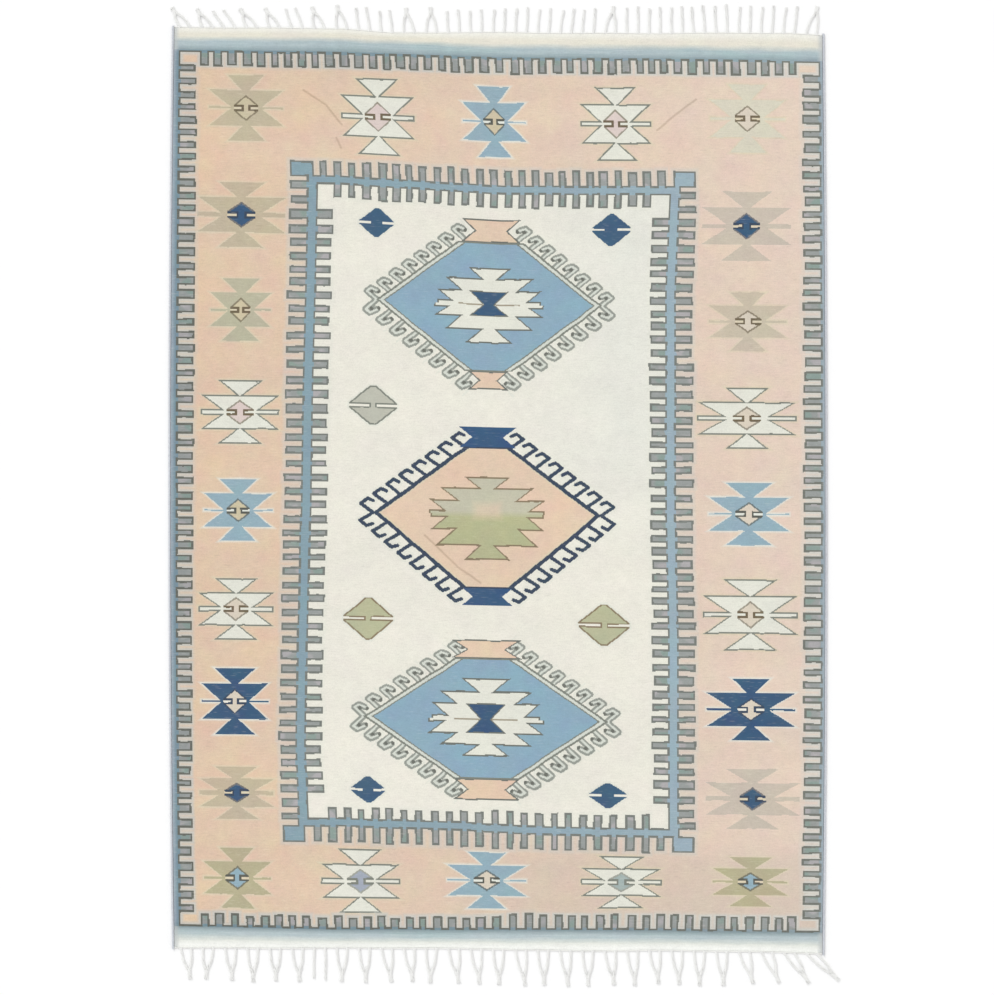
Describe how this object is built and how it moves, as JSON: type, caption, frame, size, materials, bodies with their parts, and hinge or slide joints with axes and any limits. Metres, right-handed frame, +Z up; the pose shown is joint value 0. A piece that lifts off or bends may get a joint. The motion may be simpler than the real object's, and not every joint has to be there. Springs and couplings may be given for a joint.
{
  "type": "oushak rug",
  "caption": "Flat wool rug of traditional Anatolian pattern, with flat-woven ends, overcast sides and a knotted warp fringe at each end.",
  "frame": {"origin": "on the floor plane, under the middle of the whole rug with its fringe", "axes": "+Y along the rug's length, towards the end with the shorter fringe; +X across it; +Z up, out of the face"},
  "size_m": [1.6452, 2.4058, 0.006],
  "materials": {
    "wool_pile": "low sheared wool pile in peach, ivory, light blue, navy, olive and white, matte and a little worn",
    "selvedge_wool": "grey-blue wool yarn wrapped round the outer warps, matte",
    "fringe_yarn": "undyed off-white warp yarn, plied and knotted, matte"
  },
  "bodies": {
    "root": {"rug": "wool_pile", "selvedge_left": "selvedge_wool", "selvedge_right": "selvedge_wool", "fringe_top": "fringe_yarn", "fringe_bottom": "fringe_yarn"}
  },
  "joints": []
}
